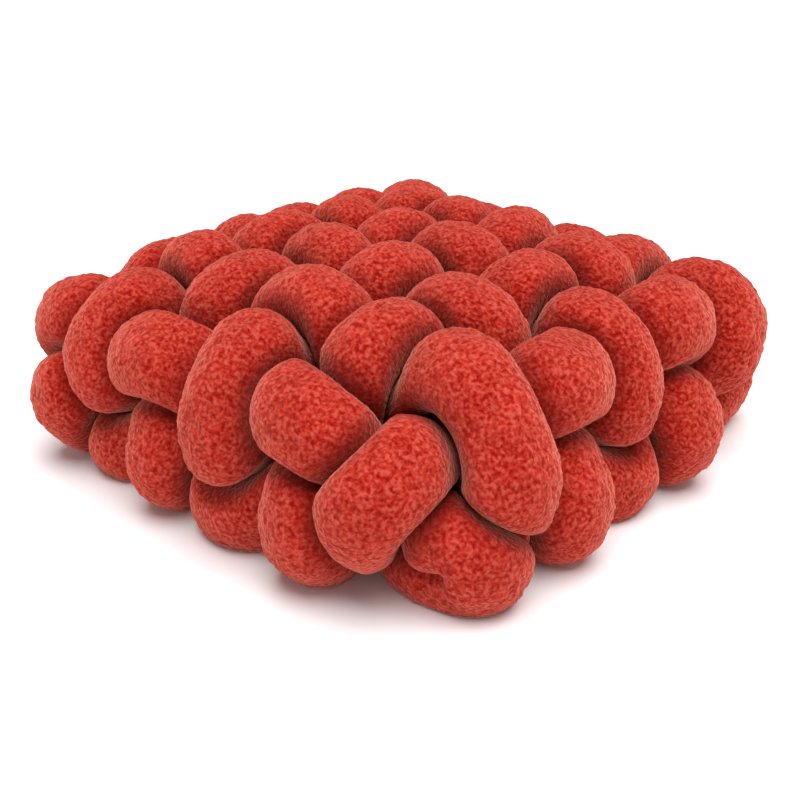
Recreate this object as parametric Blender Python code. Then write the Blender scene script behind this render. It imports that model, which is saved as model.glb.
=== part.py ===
# Knot cushion: twelve stuffed fleece tubes, six each way, woven over and under
# into a square pad. Each tube is a closed ring that runs across the top, round
# one side, back along the underside and up the other side. Where tubes press on
# each other their round sections are flattened against a shared wall.
#
# Metres, +Z up, the pad lying flat on Z = 0. The weave's a tubes run along Y and
# are counted from +X; its b tubes run along X and are counted from -Y. The front
# corner of the pad is the one at +X, -Y.

import math

import bpy
import numpy as np

MM = 0.001

# The weave
TUBES_EACH_WAY = 6
OUTERMOST = (1, TUBES_EACH_WAY)
FRONT_CORNER = (1, 1)
PITCH = 65 * MM  # from one tube to the next
TUBE_RADIUS = 34 * MM  # of a tube where nothing presses on it
OUTER_LANE = 2.5 * PITCH  # where the outermost tubes run
CORNER_BOW = 13 * MM  # how far the tubes' ends draw in towards the pad's axes

# Heights of the tubes' centres in the four levels, at the pad's middle and its edge
LEVELS = {
    ("top", "over"): (138 * MM, 99 * MM),
    ("top", "under"): (100 * MM, 73 * MM),
    ("bottom", "under"): (62 * MM, 47 * MM),
    ("bottom", "over"): (24 * MM, 21 * MM),
}
CROWN_HALF_WIDTH = 200 * MM
CROWN_POWER = 2.8

# The outermost tubes sway out where they lie over and in where they lie under
EDGE_SWAY = 15 * MM
EDGE_KNOB_DROP = 9 * MM
FRONT_CORNER_DROP = 29 * MM  # the tube over the front corner sags
CORNER_UNDER_DROP = 5 * MM  # and what lies under an outermost crossing is pressed down
BESIDE_CORNER_DROP = 6 * MM
CORNER_OVERHANG = 18 * MM

# A tube that is over at the edge makes a long curve down the side and tucks in.
# One that is under comes out low on the side and bulges over the bottom edge.
LONG_REACH = 27 * MM  # past its last crossing on top
LONG_HEIGHT = 77 * MM
LONG_PULL = 4 * MM  # its last crossing draws back
TUCK_REACH = 33 * MM
TUCK_HEIGHT = 41 * MM
TUCK_PULL = 10 * MM

# How each tube differs from an even weave, in mm, as in the photographed pad.
#   shift   sideways place of the whole ring
#   slant   further sideways at its front end, and back at the other
#   girth   thickness, as a share of the usual tube
#   reach   how much further its front end bulges, and back_reach its other end
#   lift    how much higher its front end bulges
#   lean    how far its front end leans sideways
#   rise    how much higher it runs across the top
UNEVEN_COLUMNS = ("way", "number", "shift", "slant", "girth", "reach", "back_reach", "lift", "lean", "rise")
UNEVEN_ROWS = (
    ("a", 1, 1, 8, 1.06, 9, 20, -14, -18, 5),
    ("a", 2, 0, 1, 1.02, -6, 0, -3, 14, -2),
    ("a", 3, -6, 4, 0.98, -2, 0, -4, 4, 1),
    ("a", 4, -7, -11, 0.96, -8, -2, -6, 18, -1),
    ("a", 5, -1, -14, 0.98, -3, 0, 7, -3, 2),
    ("a", 6, 11, -2, 1.06, 3, 0, 15, -4, -2),
    ("b", 1, 5, 12, 1.04, 16, 0, -6, 22, -8),
    ("b", 2, -3, 1, 1.04, 4, 0, -13, -8, 3),
    ("b", 3, -1, -7, 0.98, 0, 0, -5, -7, 1),
    ("b", 4, 4, -5, 0.96, -10, 0, 4, 0, 2),
    ("b", 5, -1, -3, 1.04, 2, 2, 1, 1, 0),
    ("b", 6, 2, 2, 0.96, 4, 0, 2, 2, -4),
)

# How far the two tubes that cross at the front corner are squeezed aside there, in mm
SQUEEZED_COLUMNS = ("way", "run", "x", "y", "z")
SQUEEZED_ROWS = (
    ("a", "top", -8, 0, -4),
    ("a", "bottom", -12, 24, -10),
    ("b", "top", 4, 2, -18),
    ("b", "bottom", 4, 14, -2),
)

EASE_PASSES = 6  # each opens the rings' bends a little, as stuffing does
APART_PASSES = 12
LEAST_APART = 30 * MM  # between the centres of two tubes pressed together
LEAST_APART_AT_CORNERS = 20 * MM  # where four layers are squeezed into the pad's thickness
CORNER_START = 95 * MM
CORNER_WIDTH = 25 * MM
BEND_SPANS = (1, 2, 3, 4)  # how many points to either side a bend is measured over
LEAST_BEND = 12 * MM  # radius of the tightest bend of a tube's centre

# The solids
STEPS_PER_SPAN = 12  # centre points from one crossing to the next
FINE_STEPS = 2  # places for a section per centre point
SECTIONS = 52  # round the ring, closer where it bends
SIDES = 8  # corners of a section
TRIM_PASSES = 12
LEAST_REACH = 4 * MM
WALL_GAP = 0.32 * MM  # each tube stops this far short of a shared wall
SECTION_ROUNDNESS = 12.0  # how sharply a section turns from round to pressed flat
PAD_CENTRE = (7.1 * MM, 7.2 * MM)  # middle of the woven pad, moved to X = Y = 0

FLEECE_COLOUR = (0.60, 0.085, 0.05, 1.0)
FLEECE_ROUGHNESS = 0.95


def uneven_table():
    """The rows above, by way and number, with lengths in metres."""
    table = {}
    for row in UNEVEN_ROWS:
        named = dict(zip(UNEVEN_COLUMNS, row))
        key = (named.pop("way"), named.pop("number"))
        girth = named.pop("girth")
        table[key] = {column: value * MM for column, value in named.items()}
        table[key]["girth"] = girth
    return table


def squeezed_table():
    """The offsets at the front corner, by way and run, in metres."""
    table = {}
    for row in SQUEEZED_ROWS:
        named = dict(zip(SQUEEZED_COLUMNS, row))
        offset = np.array([named["x"], named["y"], named["z"]]) * MM
        table[named["way"], named["run"]] = offset
    return table


UNEVEN = uneven_table()
SQUEEZED = squeezed_table()
TUBES = tuple(UNEVEN)


def crowned(x, y, centre, edge):
    """A value that goes from centre to edge as the pad's crown falls away."""
    across = 1 - min(abs(x) / CROWN_HALF_WIDTH, 1) ** CROWN_POWER
    along = 1 - min(abs(y) / CROWN_HALF_WIDTH, 1) ** CROWN_POWER
    return edge + (centre - edge) * across * along


def lane(way, number, along):
    """Sideways place of a tube, at a place along it."""
    uneven = UNEVEN[way, number]
    even = (number - 3.5) * PITCH
    front = along / OUTER_LANE
    if way == "a":
        even, front = -even, -front
    return even + uneven["shift"] + uneven["slant"] * front - CORNER_BOW * even / OUTER_LANE * front**2


def crossing(a_number, b_number):
    """X and Y where tube a and tube b cross."""
    x = (3.5 - a_number) * PITCH
    y = (b_number - 3.5) * PITCH
    for _ in range(4):
        x, y = lane("a", a_number, y), lane("b", b_number, x)
    return x, y


def is_over(way, a_number, b_number, layer):
    """Whether this way's tube is the outer one of the two at a crossing."""
    a_is_outer = (a_number + b_number) % 2 == (0 if layer == "top" else 1)
    return a_is_outer if way == "a" else not a_is_outer


def run_height(way, number, pair, over, layer, x, y):
    """Height of a tube's centre where it crosses another."""
    height = crowned(x, y, *LEVELS[layer, "over" if over else "under"])
    if layer == "bottom":
        return height
    height += UNEVEN[way, number]["rise"]
    at_corner = pair[0] in OUTERMOST and pair[1] in OUTERMOST
    if at_corner and not over:
        height -= CORNER_UNDER_DROP
    if over and number in OUTERMOST and not at_corner:
        height -= EDGE_KNOB_DROP
    if pair == FRONT_CORNER and over:
        height -= FRONT_CORNER_DROP
    if pair == (1, 2) and way == "a":
        height -= BESIDE_CORNER_DROP
    return height


def sways(number, other, over, layer):
    """Whether a tube swerves at a crossing: the outermost ones do, but hardly at corners."""
    if other in OUTERMOST:
        return number in OUTERMOST and over and layer == "top" and (number, other) != FRONT_CORNER
    return number in OUTERMOST


def run_point(way, number, other, layer):
    """Centre of a tube where it crosses the other way's tube, on one layer."""
    pair = (number, other) if way == "a" else (other, number)
    over = is_over(way, *pair, layer)
    point = np.array([*crossing(*pair), 0.0])
    point[2] = run_height(way, number, pair, over, layer, point[0], point[1])
    if sways(number, other, over, layer):
        sideways = 0 if way == "a" else 1
        point[sideways] += math.copysign(EDGE_SWAY, point[sideways]) * (1 if over else -1)
    return point


def end_points(way, number, end):
    """Last crossing on top, the bulge on the side, and the crossing under it."""
    uneven = UNEVEN[way, number]
    along = 1 if way == "a" else 0
    other = 1 if end == "front" else TUBES_EACH_WAY
    outward = 1 if (way == "b") == (end == "front") else -1
    top = run_point(way, number, other, "top")
    bottom = run_point(way, number, other, "bottom")
    bulge = (top + bottom) / 2
    reach = uneven["reach"] if end == "front" else uneven["back_reach"]
    is_long = is_over(way, *((number, other) if way == "a" else (other, number)), "top")
    if is_long:
        bulge[along] = top[along] + outward * (LONG_REACH + reach)
        bulge[2] = LONG_HEIGHT
        hangs_over = number in OUTERMOST and (number, other) != FRONT_CORNER
        overhang = CORNER_OVERHANG if hangs_over else 0
        top[along] += outward * (overhang - LONG_PULL)
        bottom[along] -= outward * 2 * LONG_PULL
    else:
        bulge[along] = top[along] + outward * (TUCK_REACH + reach)
        bulge[2] = TUCK_HEIGHT
        top[along] -= outward * TUCK_PULL
        bottom[along] -= outward * TUCK_PULL
    if end == "front":
        bulge[1 - along] += uneven["lean"]
        bulge[2] += uneven["lift"]
    if end == "front" and number == 1:
        top += SQUEEZED[way, "top"]
        bottom += SQUEEZED[way, "bottom"]
    return top, bulge, bottom


def stations(way, number):
    """Points that a tube's centre passes through, once round its ring."""
    front_top, front_bulge, front_bottom = end_points(way, number, "front")
    back_top, back_bulge, back_bottom = end_points(way, number, "back")
    inner = range(2, TUBES_EACH_WAY)
    top = [run_point(way, number, other, "top") for other in inner]
    bottom = [run_point(way, number, other, "bottom") for other in reversed(inner)]
    there = [front_top, *top, back_top, back_bulge]
    back = [back_bottom, *bottom, front_bottom, front_bulge]
    return np.array(there + back)


def smooth_ring(points, steps):
    """A closed cubic spline through points, with steps samples from each to the next."""
    following = np.roll(points, -1, axis=0)
    spans = np.linalg.norm(following - points, axis=1) ** 0.75
    count = len(points)
    matrix = np.zeros((count, count))
    bends = np.zeros((count, 3))
    for i in range(count):
        before, after = spans[i - 1], spans[i]
        matrix[i, i - 1] = before
        matrix[i, i] = 2 * (before + after)
        matrix[i, (i + 1) % count] = after
        bends[i] = 6 * ((following[i] - points[i]) / after - (points[i] - points[i - 1]) / before)
    curvature = np.linalg.solve(matrix, bends)[:, None]
    next_curvature = np.roll(curvature, -1, axis=0)
    span = spans[:, None, None]
    done = span * np.linspace(0, 1, steps, endpoint=False)[None, :, None]
    left = span - done
    ring = curvature * left**3 / (6 * span) + next_curvature * done**3 / (6 * span)
    ring += (points[:, None] / span - curvature * span / 6) * left
    ring += (following[:, None] / span - next_curvature * span / 6) * done
    return ring.reshape(-1, 3)


def eased(ring):
    """Values round a ring, evened out with their neighbours'."""
    for _ in range(EASE_PASSES):
        ring = (np.roll(ring, 1, axis=0) + 2 * ring + np.roll(ring, -1, axis=0)) / 4
    return ring


def opened_bends(ring):
    """The ring, with its sharpest bends rounded off, because a stuffed tube won't kink."""
    for reach in BEND_SPANS:
        before, after = np.roll(ring, reach, axis=0), np.roll(ring, -reach, axis=0)
        sag = ring - (before + after) / 2
        depth = np.linalg.norm(sag, axis=1) + 1e-9
        half_chord = np.linalg.norm(after - before, axis=1) / 2
        excess = np.maximum(depth - half_chord**2 / (2 * LEAST_BEND), 0) / depth
        ring = ring - eased(sag * excess[:, None]) / 2
    return ring


def least_apart(ring):
    """How close another centre may come to each point: closer at the pad's corners."""
    into_corner = np.abs(ring[:, :2]).min(axis=1) - CORNER_START
    share = np.clip(into_corner / CORNER_WIDTH, 0, 1)
    return LEAST_APART + (LEAST_APART_AT_CORNERS - LEAST_APART) * share


def pressed_apart(rings):
    """The rings, each giving way where another's centre comes too close to its own."""
    for _ in range(APART_PASSES):
        for key, ring in rings.items():
            others = np.concatenate([rings[other] for other in rings if other != key])
            offsets = ring[:, None] - others
            distances = np.linalg.norm(offsets, axis=2)
            nearest = distances.argmin(axis=1)
            rows = np.arange(len(ring))
            least = distances[rows, nearest]
            share = np.maximum(least_apart(ring) - least, 0) / (2 * least)
            rings[key] = opened_bends(ring + eased(offsets[rows, nearest] * share[:, None]))
    return rings


def section_directions(way, ring, sides):
    """Unit directions round each section, starting with the one that faces out of the ring."""
    tangent = np.roll(ring, -1, axis=0) - np.roll(ring, 1, axis=0)
    tangent /= np.linalg.norm(tangent, axis=1)[:, None]
    sideways = np.array([1.0, 0, 0] if way == "a" else [0, 1.0, 0])
    sideways = sideways - tangent * (tangent @ sideways)[:, None]
    sideways /= np.linalg.norm(sideways, axis=1)[:, None]
    outward = np.cross(tangent, sideways)
    if np.sum(outward * (ring - ring.mean(axis=0))) < 0:
        outward = -outward
    angles = np.linspace(0, 2 * math.pi, sides, endpoint=False)[None, :, None]
    return outward[:, None] * np.cos(angles) + sideways[:, None] * np.sin(angles)


def room_round(centre, directions, all_centres):
    """How far a tube can reach from a centre, each way, before another tube is nearer."""
    offsets = all_centres - centre
    distances = np.sum(offsets**2, axis=1)
    near = (distances < (3 * TUBE_RADIUS) ** 2) & (distances > MM**2)
    facing = directions @ offsets[near].T
    walls = np.where(facing > 1e-9, distances[near] / (2 * np.maximum(facing, 1e-9)), 1.0)
    return walls.min(axis=1)


def section_places(ring):
    """Which points of a ring get a section: evenly spaced along the outside of its bends."""
    step = np.roll(ring, -1, axis=0) - ring
    length = np.linalg.norm(step, axis=1)
    heading = step / length[:, None]
    turn = np.linalg.norm(heading - np.roll(heading, 1, axis=0), axis=1)
    travelled = np.cumsum(length + TUBE_RADIUS * turn)
    wanted = np.linspace(0, travelled[-1], SECTIONS, endpoint=False)
    return np.searchsorted(travelled, wanted)


def nearest(points, centres):
    """Distance from each point to the nearest of some centres."""
    flat = points.reshape(-1, 3)
    squared = np.sum(flat**2, axis=1)[:, None] - 2 * flat @ centres.T + np.sum(centres**2, axis=1)
    return np.sqrt(np.maximum(squared.min(axis=1), 0)).reshape(points.shape[:-1])


def overreach(points, own, others):
    """How far each corner must draw back so that its edges and faces keep off the walls."""
    over = np.zeros(points.shape[:2])
    for step in ((0, 0), (1, 0), (0, 1), (1, 1), (1, -1)):
        middle = (points + np.roll(points, step, axis=(0, 1))) / 2
        clearance = (nearest(middle, others) - nearest(middle, own)) / 2
        short = np.maximum(WALL_GAP - clearance, 0)
        back = np.roll(short, (-step[0], -step[1]), axis=(0, 1))
        over = np.maximum(over, np.maximum(short, back))
    return over


def tube_points(way, number, rings):
    """Corners of every section of one tube, pressed flat where its neighbours leave no room."""
    ring = smooth_ring(rings[way, number], FINE_STEPS)
    places = section_places(ring)
    centres = ring[places]
    directions = section_directions(way, ring, SIDES)[places]
    everyone = np.concatenate(list(rings.values()))
    others = np.concatenate([rings[key] for key in rings if key != (way, number)])
    room = np.array([room_round(c, d, everyone) for c, d in zip(centres, directions)])
    radius = TUBE_RADIUS * UNEVEN[way, number]["girth"]
    reach = (radius**-SECTION_ROUNDNESS + room**-SECTION_ROUNDNESS) ** (-1 / SECTION_ROUNDNESS)
    for _ in range(TRIM_PASSES):
        points = centres[:, None] + directions * reach[:, :, None]
        points[..., 2] = np.maximum(points[..., 2], 0)  # flat where it lies on the surface
        reach = np.maximum(reach - overreach(points, rings[way, number], others), LEAST_REACH)
    return points


def fleece_material(name):
    material = bpy.data.materials.new(name)
    material.use_nodes = True
    shader = material.node_tree.nodes["Principled BSDF"]
    shader.inputs["Base Color"].default_value = FLEECE_COLOUR
    shader.inputs["Roughness"].default_value = FLEECE_ROUGHNESS
    shader.inputs["Metallic"].default_value = 0.0
    material.diffuse_color = FLEECE_COLOUR
    return material


def add_tube(name, points, collection):
    """A torus whose sections are reshaped to a tube's own, with its origin at the ring's middle."""
    rings, sides = points.shape[:2]
    bpy.ops.mesh.primitive_torus_add(major_segments=rings, minor_segments=sides)
    tube = bpy.context.object
    tube.name = name
    tube.data.name = name
    corners = points.reshape(-1, 3) - np.array([*PAD_CENTRE, 0.0])
    middle = (corners.min(axis=0) + corners.max(axis=0)) / 2
    tube.location = middle
    tube.data.vertices.foreach_set("co", (corners - middle).ravel())
    if loop_turns_inward(points):
        tube.data.flip_normals()
    tube.data.update()
    tube.data.materials.append(fleece_material(name + "_fleece"))
    for holder in list(tube.users_collection):
        holder.objects.unlink(tube)
    collection.objects.link(tube)
    return tube


def loop_turns_inward(points):
    """Whether the torus's faces, wound as the primitive winds them, would face into the tube."""
    centre = points[0].mean(axis=0)
    along = points[1].mean(axis=0) - centre
    around = points[0, 1] - points[0, 0]
    return np.dot(np.cross(along, around), points[0, 0] - centre) < 0


def main():
    for item in list(bpy.data.objects):
        bpy.data.objects.remove(item, do_unlink=True)
    cushion = bpy.data.collections.new("knot_cushion")
    bpy.context.scene.collection.children.link(cushion)
    rings = pressed_apart({key: eased(smooth_ring(stations(*key), STEPS_PER_SPAN)) for key in TUBES})
    for way, number in TUBES:
        points = tube_points(way, number, rings)
        add_tube(f"tube_{way}_{number}", points, cushion)


main()
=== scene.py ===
import math

import bpy
import numpy as np
from mathutils import Matrix, Vector


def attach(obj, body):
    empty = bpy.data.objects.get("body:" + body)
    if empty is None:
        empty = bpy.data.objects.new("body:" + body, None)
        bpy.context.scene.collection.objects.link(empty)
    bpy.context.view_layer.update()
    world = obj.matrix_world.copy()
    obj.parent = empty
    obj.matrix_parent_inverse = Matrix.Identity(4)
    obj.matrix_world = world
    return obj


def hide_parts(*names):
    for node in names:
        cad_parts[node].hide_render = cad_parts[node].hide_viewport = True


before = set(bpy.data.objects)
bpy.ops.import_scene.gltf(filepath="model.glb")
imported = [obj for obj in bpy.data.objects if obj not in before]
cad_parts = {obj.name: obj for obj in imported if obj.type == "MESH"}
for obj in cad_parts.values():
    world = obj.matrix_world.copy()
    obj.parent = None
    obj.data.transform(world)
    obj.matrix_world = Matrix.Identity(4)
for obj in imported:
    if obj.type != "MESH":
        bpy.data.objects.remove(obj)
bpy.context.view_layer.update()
print("frame loaded")

mm = 0.001

# How the pad is woven: the same sizes as the solids

weave = {
    "tubesEachWay": 6,
    "pitch": 65 * mm,
    "tubeRadius": 34 * mm,
    "cornerBow": 13 * mm,  # the tubes' ends draw in towards the pad's axes
    "crossingPasses": 4,
    "levels": {  # heights of a centreline at the pad's middle and at its edge
        ("top", "over"): (138 * mm, 99 * mm),
        ("top", "under"): (100 * mm, 73 * mm),
        ("bottom", "under"): (62 * mm, 47 * mm),
        ("bottom", "over"): (24 * mm, 21 * mm),
    },
    "crownHalfWidth": 200 * mm,
    "crownPower": 2.8,  # higher keeps the top flat nearer to its edge
    "edgeSway": 15 * mm,  # the outermost tubes swing out where they go over, in where under
    "edgeKnobDrop": 9 * mm,
    "frontCornerDrop": 29 * mm,
    "cornerUnderDrop": 5 * mm,
    "besideCornerDrop": 6 * mm,
    "cornerOverhang": 18 * mm,
    "longReach": 27 * mm,  # ends that come down from over the last crossing
    "longHeight": 77 * mm,
    "longPull": 4 * mm,
    "tuckReach": 33 * mm,  # ends that come out from under it
    "tuckHeight": 41 * mm,
    "tuckPull": 10 * mm,
    "easePasses": 6,
    "apartPasses": 12,
    "leastApart": 30 * mm,  # centres closer than this push each other away
    "leastApartAtCorners": 20 * mm,
    "cornerStart": 95 * mm,
    "cornerWidth": 25 * mm,
    "bendSpans": (1, 2, 3, 4),  # points on each side that a bend is measured over
    "leastBend": 12 * mm,
    "stepsPerSpan": 12,
    "spanPower": 0.75,  # 1 spaces the curve by length, 0 evenly
    "padCentre": (7.1 * mm, 7.2 * mm),
    "squeezed": {  # offsets where the outermost two tubes cross at the front corner
        ("a", "top"): (-8 * mm, 0, -4 * mm),
        ("a", "bottom"): (-12 * mm, 24 * mm, -10 * mm),
        ("b", "top"): (4 * mm, 2 * mm, -18 * mm),
        ("b", "bottom"): (4 * mm, 14 * mm, -2 * mm),
    },
}
outermost = (1, weave["tubesEachWay"])
frontCorner = (1, 1)
middleLane = (weave["tubesEachWay"] + 1) / 2
outerLane = (weave["tubesEachWay"] - middleLane) * weave["pitch"]

unevenColumns = ("way", "number", "shift", "slant", "girth", "reach", "backReach", "lift", "lean", "rise")
unevenRows = (
    ("a", 1, 1, 8, 1.06, 9, 20, -14, -18, 5),
    ("a", 2, 0, 1, 1.02, -6, 0, -3, 14, -2),
    ("a", 3, -6, 4, 0.98, -2, 0, -4, 4, 1),
    ("a", 4, -7, -11, 0.96, -8, -2, -6, 18, -1),
    ("a", 5, -1, -14, 0.98, -3, 0, 7, -3, 2),
    ("a", 6, 11, -2, 1.06, 3, 0, 15, -4, -2),
    ("b", 1, 5, 12, 1.04, 16, 0, -6, 22, -8),
    ("b", 2, -3, 1, 1.04, 4, 0, -13, -8, 3),
    ("b", 3, -1, -7, 0.98, 0, 0, -5, -7, 1),
    ("b", 4, 4, -5, 0.96, -10, 0, 4, 0, 2),
    ("b", 5, -1, -3, 1.04, 2, 2, 1, 1, 0),
    ("b", 6, 2, 2, 0.96, 4, 0, 2, 2, -4),
)


def unevenTable():
    table = {}
    for row in unevenRows:
        named = dict(zip(unevenColumns, row))
        key = (named.pop("way"), named.pop("number"))
        girth = named.pop("girth")
        table[key] = {column: value * mm for column, value in named.items()}
        table[key]["girth"] = girth
    return table


uneven = unevenTable()
tubes = tuple(uneven)


def crowned(x, y, centre, edge):
    across = 1 - min(abs(x) / weave["crownHalfWidth"], 1) ** weave["crownPower"]
    along = 1 - min(abs(y) / weave["crownHalfWidth"], 1) ** weave["crownPower"]
    return edge + (centre - edge) * across * along


def lane(way, number, along):
    own = uneven[way, number]
    even = (number - middleLane) * weave["pitch"]
    front = along / outerLane
    if way == "a":
        even, front = -even, -front
    return even + own["shift"] + own["slant"] * front - weave["cornerBow"] * even / outerLane * front**2


def crossing(aNumber, bNumber):
    x = (middleLane - aNumber) * weave["pitch"]
    y = (bNumber - middleLane) * weave["pitch"]
    for _ in range(weave["crossingPasses"]):
        x, y = lane("a", aNumber, y), lane("b", bNumber, x)
    return x, y


def isOver(way, aNumber, bNumber, layer):
    aIsOuter = (aNumber + bNumber) % 2 == (0 if layer == "top" else 1)
    return aIsOuter if way == "a" else not aIsOuter


def runHeight(way, number, pair, over, layer, x, y):
    height = crowned(x, y, *weave["levels"][layer, "over" if over else "under"])
    if layer == "bottom":
        return height
    height += uneven[way, number]["rise"]
    atCorner = pair[0] in outermost and pair[1] in outermost
    if atCorner and not over:
        height -= weave["cornerUnderDrop"]
    if over and number in outermost and not atCorner:
        height -= weave["edgeKnobDrop"]
    if pair == frontCorner and over:
        height -= weave["frontCornerDrop"]
    if pair == (1, 2) and way == "a":
        height -= weave["besideCornerDrop"]
    return height


def sways(number, other, over, layer):
    if other in outermost:
        return number in outermost and over and layer == "top" and (number, other) != frontCorner
    return number in outermost


def runPoint(way, number, other, layer):
    pair = (number, other) if way == "a" else (other, number)
    over = isOver(way, *pair, layer)
    point = np.array([*crossing(*pair), 0.0])
    point[2] = runHeight(way, number, pair, over, layer, point[0], point[1])
    if sways(number, other, over, layer):
        sideways = 0 if way == "a" else 1
        point[sideways] += math.copysign(weave["edgeSway"], point[sideways]) * (1 if over else -1)
    return point


def endPoints(way, number, end):
    own = uneven[way, number]
    along = 1 if way == "a" else 0
    other = 1 if end == "front" else weave["tubesEachWay"]
    outward = 1 if (way == "b") == (end == "front") else -1
    top = runPoint(way, number, other, "top")
    bottom = runPoint(way, number, other, "bottom")
    bulge = (top + bottom) / 2
    reach = own["reach"] if end == "front" else own["backReach"]
    isLong = isOver(way, *((number, other) if way == "a" else (other, number)), "top")
    if isLong:
        bulge[along] = top[along] + outward * (weave["longReach"] + reach)
        bulge[2] = weave["longHeight"]
        hangsOver = number in outermost and (number, other) != frontCorner
        overhang = weave["cornerOverhang"] if hangsOver else 0
        top[along] += outward * (overhang - weave["longPull"])
        bottom[along] -= outward * 2 * weave["longPull"]
    else:
        bulge[along] = top[along] + outward * (weave["tuckReach"] + reach)
        bulge[2] = weave["tuckHeight"]
        top[along] -= outward * weave["tuckPull"]
        bottom[along] -= outward * weave["tuckPull"]
    if end == "front":
        bulge[1 - along] += own["lean"]
        bulge[2] += own["lift"]
    if end == "front" and number == 1:
        top += weave["squeezed"][way, "top"]
        bottom += weave["squeezed"][way, "bottom"]
    return top, bulge, bottom


def stations(way, number):
    frontTop, frontBulge, frontBottom = endPoints(way, number, "front")
    backTop, backBulge, backBottom = endPoints(way, number, "back")
    inner = range(2, weave["tubesEachWay"])
    top = [runPoint(way, number, other, "top") for other in inner]
    bottom = [runPoint(way, number, other, "bottom") for other in reversed(inner)]
    there = [frontTop, *top, backTop, backBulge]
    back = [backBottom, *bottom, frontBottom, frontBulge]
    return np.array(there + back)


def smoothRing(points, steps):  # a closed cubic spline through the points
    following = np.roll(points, -1, axis=0)
    spans = np.linalg.norm(following - points, axis=1) ** weave["spanPower"]
    count = len(points)
    matrix = np.zeros((count, count))
    bends = np.zeros((count, 3))
    for i in range(count):
        before, after = spans[i - 1], spans[i]
        matrix[i, i - 1] = before
        matrix[i, i] = 2 * (before + after)
        matrix[i, (i + 1) % count] = after
        bends[i] = 6 * ((following[i] - points[i]) / after - (points[i] - points[i - 1]) / before)
    curvature = np.linalg.solve(matrix, bends)[:, None]
    nextCurvature = np.roll(curvature, -1, axis=0)
    span = spans[:, None, None]
    done = span * np.linspace(0, 1, steps, endpoint=False)[None, :, None]
    left = span - done
    ring = curvature * left**3 / (6 * span) + nextCurvature * done**3 / (6 * span)
    ring += (points[:, None] / span - curvature * span / 6) * left
    ring += (following[:, None] / span - nextCurvature * span / 6) * done
    return ring.reshape(-1, 3)


def eased(ring):
    for _ in range(weave["easePasses"]):
        ring = (np.roll(ring, 1, axis=0) + 2 * ring + np.roll(ring, -1, axis=0)) / 4
    return ring


def openedBends(ring):  # a stuffed tube won't kink
    for reach in weave["bendSpans"]:
        before, after = np.roll(ring, reach, axis=0), np.roll(ring, -reach, axis=0)
        sag = ring - (before + after) / 2
        depth = np.linalg.norm(sag, axis=1) + 1e-9
        halfChord = np.linalg.norm(after - before, axis=1) / 2
        excess = np.maximum(depth - halfChord**2 / (2 * weave["leastBend"]), 0) / depth
        ring = ring - eased(sag * excess[:, None]) / 2
    return ring


def leastApart(ring):  # four layers are squeezed closer at the pad's corners
    intoCorner = np.abs(ring[:, :2]).min(axis=1) - weave["cornerStart"]
    share = np.clip(intoCorner / weave["cornerWidth"], 0, 1)
    return weave["leastApart"] + (weave["leastApartAtCorners"] - weave["leastApart"]) * share


def pressedApart(rings):  # each gives way where another's centre comes too close
    for _ in range(weave["apartPasses"]):
        for key, ring in rings.items():
            others = np.concatenate([rings[other] for other in rings if other != key])
            offsets = ring[:, None] - others
            distances = np.linalg.norm(offsets, axis=2)
            nearest = distances.argmin(axis=1)
            rows = np.arange(len(ring))
            least = distances[rows, nearest]
            share = np.maximum(leastApart(ring) - least, 0) / (2 * least)
            rings[key] = openedBends(ring + eased(offsets[rows, nearest] * share[:, None]))
    return rings


rings = pressedApart({key: eased(smoothRing(stations(*key), weave["stepsPerSpan"])) for key in tubes})
print("weave laid out:", len(rings), "tubes")

# The stuffed skin of each tube

skin = {
    "fineSteps": 12,  # possible places for a section, for each point of a centreline
    "sections": 440,
    "sides": 92,
    "hiddenShare": 0.3,  # of the detail, where a tube runs under others
    "hiddenRoom": (0.7, 1.2),  # room above a tube, in radii, from hidden to in the open
    "bendDetail": 0.7,  # extra sections round a bend
    "innerShare": 0.42,  # how much the sides thin out towards the pad's inside
    "wallGap": 0.3 * mm,  # between a tube and the wall it shares with a neighbour
    "leastReach": 2 * mm,
    "evenPasses": 3,
    "searchRadii": 3,  # how far away a neighbour still matters
    "roundness": 4.2,  # higher is squarer where tubes press on each other
    "openDepth": 11 * mm,  # how far from a shared wall the pile stands fully open; the painted crease shade fades out within it
}


def wallDistances(centre, directions, everyone, radius):  # to the walls half way to other centres
    offsets = everyone - centre
    distances = np.sum(offsets**2, axis=1)
    near = (distances < (skin["searchRadii"] * radius) ** 2) & (distances > mm**2)
    facing = directions @ offsets[near].T
    walls = np.where(facing > 1e-9, distances[near] / (2 * np.maximum(facing, 1e-9)), 1.0)
    return walls.min(axis=1)


def sectionAxes(way, ring):
    tangent = np.roll(ring, -1, axis=0) - np.roll(ring, 1, axis=0)
    tangent /= np.linalg.norm(tangent, axis=1)[:, None]
    sideways = np.array([1.0, 0, 0] if way == "a" else [0, 1.0, 0])
    sideways = sideways - tangent * (tangent @ sideways)[:, None]
    sideways /= np.linalg.norm(sideways, axis=1)[:, None]
    outward = np.cross(tangent, sideways)
    if np.sum(outward * (ring - ring.mean(axis=0))) < 0:
        outward = -outward
    return outward, sideways


def nearestDistance(points, centres):
    flat = points.reshape(-1, 3)
    result = np.empty(len(flat))
    squares = np.sum(centres**2, axis=1)
    batch = 4096
    for start in range(0, len(flat), batch):
        part = flat[start:start + batch]
        squared = np.sum(part**2, axis=1)[:, None] - 2 * part @ centres.T + squares
        result[start:start + batch] = np.sqrt(np.maximum(squared.min(axis=1), 0))
    return result.reshape(points.shape[:-1])


def evened(values, passes):
    for _ in range(passes):
        values = (np.roll(values, 1, axis=0) + 2 * values + np.roll(values, -1, axis=0)) / 4
        values = (np.roll(values, 1, axis=1) + 2 * values + np.roll(values, -1, axis=1)) / 4
    return values


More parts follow.
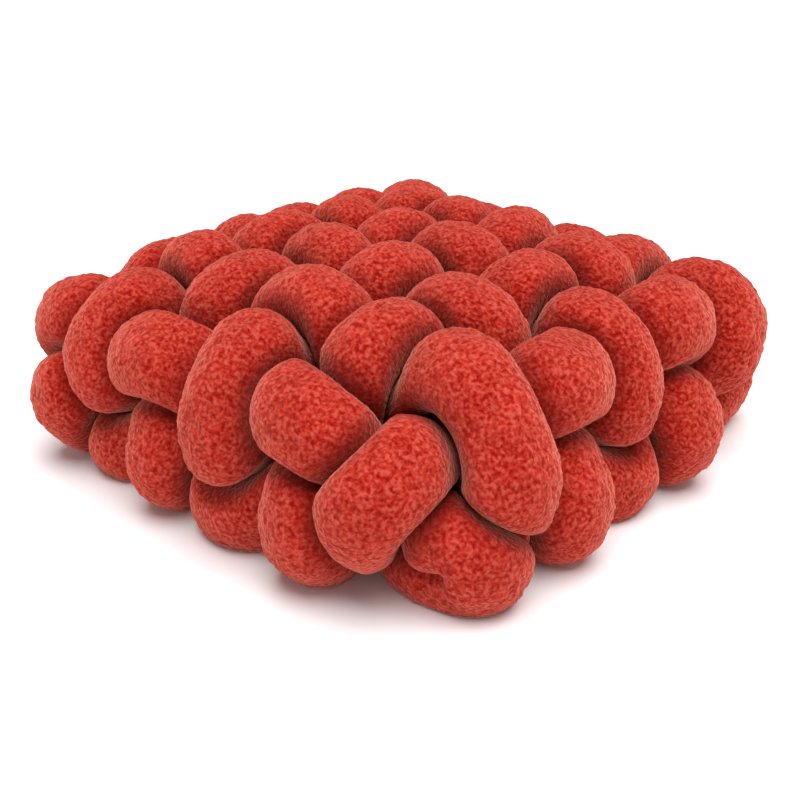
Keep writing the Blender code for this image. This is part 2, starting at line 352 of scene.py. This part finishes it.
def sectionPlaces(ring, shown, radius):
    step = np.roll(ring, -1, axis=0) - ring
    length = np.linalg.norm(step, axis=1)
    heading = step / length[:, None]
    turn = np.linalg.norm(heading - np.roll(heading, 1, axis=0), axis=1)
    travelled = np.cumsum((length + skin["bendDetail"] * radius * turn) * shown)
    wanted = np.linspace(0, travelled[-1], skin["sections"], endpoint=False)
    return np.searchsorted(travelled, wanted)


def shownShares(key, outward, others, radius):  # more sections where nothing lies on the tube
    steps = skin["fineSteps"]
    free = np.array([
        wallDistances(centre, direction[None], others, radius)[0]
        for centre, direction in zip(rings[key], outward[::steps])
    ])
    low, high = skin["hiddenRoom"]
    shown = np.repeat(np.clip((free / radius - low) / (high - low), 0, 1), steps)
    shown = skin["hiddenShare"] + (1 - skin["hiddenShare"]) * shown
    width = 2 * steps + 1
    wrapped = np.concatenate([shown[-width:], shown, shown[:width]])
    return np.convolve(wrapped, np.ones(width) / width, "same")[width:-width]


def tubeSkin(way, number):
    key = (way, number)
    radius = weave["tubeRadius"] * uneven[key]["girth"]
    everyone = np.concatenate([smoothRing(ring, 2) for ring in rings.values()])
    others = np.concatenate([smoothRing(rings[other], 2) for other in rings if other != key])
    own = smoothRing(rings[key], 2)
    ring = smoothRing(rings[key], skin["fineSteps"])
    outward, sideways = sectionAxes(way, ring)
    places = sectionPlaces(ring, shownShares(key, outward, others, radius), radius)
    around = np.linspace(-1, 1, skin["sides"], endpoint=False)
    angles = math.pi * (around * (1 - skin["innerShare"]) + around**3 * skin["innerShare"])
    directions = (
        outward[places, None] * np.cos(angles)[None, :, None]
        + sideways[places, None] * np.sin(angles)[None, :, None]
    )
    centres = ring[places]
    room = np.array([wallDistances(c, d, everyone, radius) for c, d in zip(centres, directions)])
    room = np.maximum(room - skin["wallGap"], skin["leastReach"])
    power = skin["roundness"]
    reach = (radius**-power + room**-power) ** (-1 / power)
    reach = np.minimum(evened(reach, skin["evenPasses"]), room)
    points = centres[:, None] + directions * reach[:, :, None]
    points[..., 2] = np.maximum(points[..., 2], 0)  # flat where it rests
    # The clearance from the shared walls lets the pile stand in the pile tree and also sets the painted
    # crease shade in the material.
    clearance = (nearestDistance(points, others) - nearestDistance(points, own)) / 2
    opened = np.clip(clearance / skin["openDepth"], 0, 1)
    return points, opened


padOffset = np.array([*weave["padCentre"], 0.0])


def gridMesh(name, points, opened):
    count, sides = points.shape[:2]
    points = points - padOffset
    corners = points.reshape(-1, 3)
    i, j = np.meshgrid(np.arange(count), np.arange(sides), indexing="ij")
    after, beside = (i + 1) % count, (j + 1) % sides
    quads = (i * sides + j, after * sides + j, after * sides + beside, i * sides + beside)
    faces = np.stack(quads, axis=-1).reshape(-1, 4)
    first = corners[faces[0]]
    facing = np.cross(first[1] - first[0], first[3] - first[0])
    if np.dot(facing, first[0] - points[0].mean(axis=0)) < 0:
        faces = faces[:, ::-1]
    mesh = bpy.data.meshes.new(name)
    mesh.vertices.add(len(corners))
    mesh.vertices.foreach_set("co", corners.ravel())
    mesh.loops.add(faces.size)
    mesh.loops.foreach_set("vertex_index", faces.ravel())
    mesh.polygons.add(len(faces))
    mesh.polygons.foreach_set("loop_start", np.arange(0, faces.size, 4))
    mesh.update(calc_edges=True)
    mesh.validate()
    mesh.polygons.foreach_set("use_smooth", np.ones(len(faces), dtype=bool))
    stand = mesh.attributes.new("opened", "FLOAT", "POINT")
    stand.data.foreach_set("value", opened.ravel())
    return mesh


# Teddy fleece

fleece = {
    "tuftSize": 2.7 * mm,
    "patchSize": 26 * mm,  # areas brushed a little lighter or darker
    "shadedGap": (0.24, 0.001, 0.0005),  # painted shade between the tufts, where their height is lowest
    "body": (0.40, 0.022, 0.012),
    # painted light on the raised tips of the tufts
    "litTip": (0.50, 0.067, 0.048),
    "creaseShade": (0.2, 0.001, 0.0005),  # painted shade where two tubes meet
    "creaseShadeShare": 0.55,  # of the open depth that the painted crease shade reaches
    "creaseShadeStrength": 0.9,
    "patchShade": (0.92, 1.08),
    "noiseRange": (0.3, 0.7),  # the part of a noise that is spread out
    "roughness": 0.95,
    "sheen": 0.6,
    "sheenRoughness": 0.5,
    "sheenTint": (1.0, 0.4, 0.3),
    "bumpHeight": 0.6 * mm,
    "curlSize": 4.6 * mm,  # the raised curls
    "curlHeight": 1.5 * mm,
    "curlRange": (0.25, 0.75),
    "curlSpan": (-0.6, 0.4),  # shares of the height, inwards and outwards
    "lumpSize": 26 * mm,
    "lumpHeight": 1.2 * mm,  # the filling's unevenness
    "lumpSpan": (-1.0, 0.6),
    "pressedHeight": 4 * mm,  # the pile is pressed flat below this, where the pad rests
}


def addNode(tree, kind, inputs=(), **settings):
    node = tree.nodes.new(kind)
    for name, value in settings.items():
        setattr(node, name, value)
    for socket, value in dict(inputs).items():
        if isinstance(value, bpy.types.NodeSocket):
            tree.links.new(value, node.inputs[socket])
        else:
            node.inputs[socket].default_value = value
    return node


def mathNode(tree, operation, *values):
    return addNode(tree, "ShaderNodeMath", dict(enumerate(values)), operation=operation).outputs[0]


def rescaled(tree, value, low, high, newLow, newHigh):
    return addNode(tree, "ShaderNodeMapRange", {
        "Value": value, "From Min": low, "From Max": high, "To Min": newLow, "To Max": newHigh,
    }).outputs["Result"]


def fleeceMaterial():
    material = bpy.data.materials.new("coralFleece")
    material.use_nodes = True
    tree = material.node_tree
    shader = tree.nodes["Principled BSDF"]
    shader.inputs["Roughness"].default_value = fleece["roughness"]
    shader.inputs["Specular IOR Level"].default_value = 0.0
    shader.inputs["Sheen Weight"].default_value = fleece["sheen"]
    shader.inputs["Sheen Roughness"].default_value = fleece["sheenRoughness"]
    shader.inputs["Sheen Tint"].default_value = (*fleece["sheenTint"], 1)
    rest = addNode(tree, "ShaderNodeAttribute", attribute_name="restPlace").outputs["Vector"]
    opened = addNode(tree, "ShaderNodeAttribute", attribute_name="opened").outputs["Fac"]
    pile = addNode(tree, "ShaderNodeTexNoise", {
        "Vector": rest, "Scale": 1 / fleece["tuftSize"],
        "Detail": 1.0, "Roughness": 0.5, "Distortion": 0.2,
    }).outputs["Fac"]
    tufts = rescaled(tree, pile, *fleece["noiseRange"], 0.0, 1.0)
    patches = addNode(tree, "ShaderNodeTexNoise", {
        "Vector": rest, "Scale": 1 / fleece["patchSize"], "Detail": 3.0, "Roughness": 0.6,
    }).outputs["Fac"]
    # The tufts' height, which also drives the bump, picks the colour: darker in the low gaps is painted
    # shade, lighter on the raised tips is painted light, along with the pile's random tone.
    ramp = tree.nodes.new("ShaderNodeValToRGB")
    stops = ramp.color_ramp.elements
    stops[0].position, stops[0].color = 0.0, (*fleece["shadedGap"], 1)
    stops[1].position, stops[1].color = 1.0, (*fleece["litTip"], 1)
    middle = stops.new(0.5)
    middle.color = (*fleece["body"], 1)
    tree.links.new(tufts, ramp.inputs["Fac"])
    shade = rescaled(tree, patches, *fleece["noiseRange"], *fleece["patchShade"])
    shaded = addNode(tree, "ShaderNodeVectorMath", {0: ramp.outputs["Color"]}, operation="SCALE")
    tree.links.new(shade, shaded.inputs["Scale"])
    # Painted shade: the colour is mixed towards a dark red near the walls where tubes meet.
    creaseShaded = addNode(tree, "ShaderNodeMix", data_type="RGBA")
    depth = rescaled(tree, opened, 0.0, fleece["creaseShadeShare"], fleece["creaseShadeStrength"], 0.0)
    tree.links.new(depth, creaseShaded.inputs["Factor"])
    tree.links.new(shaded.outputs["Vector"], creaseShaded.inputs["A"])
    creaseShaded.inputs["B"].default_value = (*fleece["creaseShade"], 1)
    tree.links.new(creaseShaded.outputs["Result"], shader.inputs["Base Color"])
    bump = addNode(tree, "ShaderNodeBump", {
        "Strength": 1.0, "Distance": fleece["bumpHeight"], "Height": tufts,
    })
    tree.links.new(bump.outputs["Normal"], shader.inputs["Normal"])
    return material


def pileTree(material):  # raises the curls and the filling's lumps
    tree = bpy.data.node_groups.new("fleecePile", "GeometryNodeTree")
    face = tree.interface
    face.new_socket("Geometry", in_out="INPUT", socket_type="NodeSocketGeometry")
    for name in ("Curl Size", "Curl Height", "Lump Size", "Lump Height", "Pressed Height"):
        face.new_socket(name, in_out="INPUT", socket_type="NodeSocketFloat")
    face.new_socket("Geometry", in_out="OUTPUT", socket_type="NodeSocketGeometry")
    given = tree.nodes.new("NodeGroupInput").outputs
    opened = addNode(tree, "GeometryNodeInputNamedAttribute", {
        "Name": "opened",
    }, data_type="FLOAT").outputs[0]
    place = tree.nodes.new("GeometryNodeInputPosition").outputs[0]
    normal = tree.nodes.new("GeometryNodeInputNormal").outputs[0]
    kept = addNode(tree, "GeometryNodeStoreNamedAttribute", {
        "Geometry": given["Geometry"], "Name": "restPlace", "Value": place,
    }, data_type="FLOAT_VECTOR", domain="POINT").outputs["Geometry"]
    curl = addNode(tree, "ShaderNodeTexNoise", {
        "Vector": place, "Scale": mathNode(tree, "DIVIDE", 1.0, given["Curl Size"]), "Detail": 0.0,
    }).outputs[0]
    curlShare = rescaled(tree, curl, *fleece["curlRange"], *fleece["curlSpan"])
    curlLift = mathNode(tree, "MULTIPLY", curlShare, given["Curl Height"])
    lump = addNode(tree, "ShaderNodeTexNoise", {
        "Vector": place, "Scale": mathNode(tree, "DIVIDE", 1.0, given["Lump Size"]), "Detail": 1.0,
    }).outputs[0]
    lumpShare = rescaled(tree, lump, *fleece["noiseRange"], *fleece["lumpSpan"])
    lumpLift = mathNode(tree, "MULTIPLY", lumpShare, given["Lump Height"])
    standing = addNode(tree, "ShaderNodeSeparateXYZ", {"Vector": place}).outputs["Z"]
    unpressed = rescaled(tree, standing, 0.0, given["Pressed Height"], 0.0, 1.0)
    free = mathNode(tree, "MULTIPLY", opened, unpressed)
    lift = mathNode(tree, "MULTIPLY", mathNode(tree, "ADD", curlLift, lumpLift), free)
    offset = addNode(tree, "ShaderNodeVectorMath", {0: normal}, operation="SCALE")
    tree.links.new(lift, offset.inputs["Scale"])
    raised = addNode(tree, "GeometryNodeSetPosition", {
        "Geometry": kept, "Offset": offset.outputs["Vector"],
    }).outputs["Geometry"]
    real = addNode(tree, "GeometryNodeRealizeInstances", {"Geometry": raised}).outputs["Geometry"]
    coloured = addNode(tree, "GeometryNodeSetMaterial", {"Geometry": real, "Material": material})
    end = tree.nodes.new("NodeGroupOutput")
    tree.links.new(coloured.outputs["Geometry"], end.inputs["Geometry"])
    return tree


def piled(name, mesh, tree):
    tube = bpy.data.objects.new(name, mesh)
    bpy.context.scene.collection.objects.link(tube)
    modifier = tube.modifiers.new("pile", "NODES")
    modifier.node_group = tree
    wanted = {
        "Curl Size": fleece["curlSize"], "Curl Height": fleece["curlHeight"],
        "Lump Size": fleece["lumpSize"], "Lump Height": fleece["lumpHeight"],
        "Pressed Height": fleece["pressedHeight"],
    }
    for item in tree.interface.items_tree:
        if item.in_out == "INPUT" and item.name in wanted:
            modifier[item.identifier] = float(wanted[item.name])
    graph = bpy.context.evaluated_depsgraph_get()
    done = bpy.data.meshes.new_from_object(tube.evaluated_get(graph), depsgraph=graph)
    tube.modifiers.remove(modifier)
    done.name = name
    tube.data = done
    return tube


material = fleeceMaterial()
tree = pileTree(material)
for way, number in tubes:
    points, opened = tubeSkin(way, number)
    name = f"tube_{way}_{number}"
    tube = piled("fleece_" + name, gridMesh("skin_" + name, points, opened), tree)
    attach(tube, "root")
    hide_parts(name)

# Floor, light and camera

studio = {
    "floorColour": (0.92, 0.92, 0.92),
    "floorRoughness": 0.9,
    "floorDrop": 0.5 * mm,  # below the pad
    "floorRings": (  # radius and height, in metres
        (3.0, 0.0), (4.0, 0.06), (5.0, 0.28), (6.0, 0.7), (7.0, 1.35), (8.0, 2.3), (8.6, 3.2),
    ),
    "floorSides": 72,
    "worldColour": (1.0, 1.0, 1.0),
    "worldStrength": 0.1,
    "keyStrength": 4.5,
    "keySpread": 60.0,  # degrees across the soft light
    "keyFrom": (0.12, 0.03, 1.0),
}


def studioFloor():  # flat under the pad and swept up all round as the backdrop
    sides = studio["floorSides"]
    places = [(0.0, 0.0, -studio["floorDrop"])]
    for radius, height in studio["floorRings"]:
        for k in range(sides):
            angle = 2 * math.pi * k / sides
            x, y = radius * math.cos(angle), radius * math.sin(angle)
            places.append((x, y, height - studio["floorDrop"]))
    faces = [(0, 1 + k, 1 + (k + 1) % sides) for k in range(sides)]
    for ring in range(len(studio["floorRings"]) - 1):
        inner, outer = 1 + ring * sides, 1 + (ring + 1) * sides
        for k in range(sides):
            after = (k + 1) % sides
            faces.append((inner + k, outer + k, outer + after, inner + after))
    mesh = bpy.data.meshes.new("floor")
    mesh.from_pydata(places, [], faces)
    mesh.polygons.foreach_set("use_smooth", [True] * len(faces))
    mesh.update()
    floor = bpy.data.objects.new("floor", mesh)
    bpy.context.scene.collection.objects.link(floor)
    return floor


floor = studioFloor()
floorMaterial = bpy.data.materials.new("paleFloor")
floorMaterial.use_nodes = True
floorShader = floorMaterial.node_tree.nodes["Principled BSDF"]
floorShader.inputs["Base Color"].default_value = (*studio["floorColour"], 1)
floorShader.inputs["Roughness"].default_value = studio["floorRoughness"]
floor.data.materials.append(floorMaterial)

world = bpy.data.worlds.new("softBox")
world.use_nodes = True
world.node_tree.nodes["Background"].inputs["Color"].default_value = (*studio["worldColour"], 1)
world.node_tree.nodes["Background"].inputs["Strength"].default_value = studio["worldStrength"]
bpy.context.scene.world = world

light = bpy.data.lights.new("keyLight", "SUN")
light.energy = studio["keyStrength"]
light.angle = math.radians(studio["keySpread"])
lamp = bpy.data.objects.new("keyLight", light)
lamp.rotation_euler = Vector(studio["keyFrom"]).to_track_quat("Z", "Y").to_euler()
bpy.context.scene.collection.objects.link(lamp)

photo = {  # where the photograph was taken from
    "distance": 0.8565,  # metres from the target
    "azimuth": 46.6,  # degrees, as are the next two
    "elevation": 22.75,
    "roll": -0.66,
    "frameWidth": 800,
    "sensorWidth": 36,  # millimetres
    "focal": 1125.0,  # in pixels of the frame, as is the offset
    "offset": (1.8, -54.9),
    "target": (1.3 * mm, 2.0 * mm, 75 * mm),
}


def photoCamera():
    azimuth, elevation = math.radians(photo["azimuth"]), math.radians(photo["elevation"])
    roll = math.radians(photo["roll"])
    forward = np.array([
        -math.sin(azimuth) * math.cos(elevation),
        math.cos(azimuth) * math.cos(elevation),
        -math.sin(elevation),
    ])
    right = np.array([math.cos(azimuth), math.sin(azimuth), 0.0])
    up = np.cross(right, forward)
    turnedRight = math.cos(roll) * right + math.sin(roll) * up
    turnedUp = -math.sin(roll) * right + math.cos(roll) * up
    target = np.array(photo["target"]) - padOffset
    place = target - forward * photo["distance"]
    camera = bpy.data.objects.new("camera", bpy.data.cameras.new("camera"))
    axes = np.array([turnedRight, turnedUp, -forward]).T
    camera.matrix_world = Matrix.Translation(place) @ Matrix(axes.tolist()).to_4x4()
    camera.data.sensor_width = photo["sensorWidth"]
    camera.data.lens = photo["focal"] / photo["frameWidth"] * photo["sensorWidth"]
    camera.data.shift_x = -photo["offset"][0] / photo["frameWidth"]
    camera.data.shift_y = photo["offset"][1] / photo["frameWidth"]
    camera.data.clip_start = 0.01
    bpy.context.scene.collection.objects.link(camera)
    bpy.context.scene.camera = camera


photoCamera()
bpy.context.scene.view_settings.view_transform = "Standard"
print("studio set")
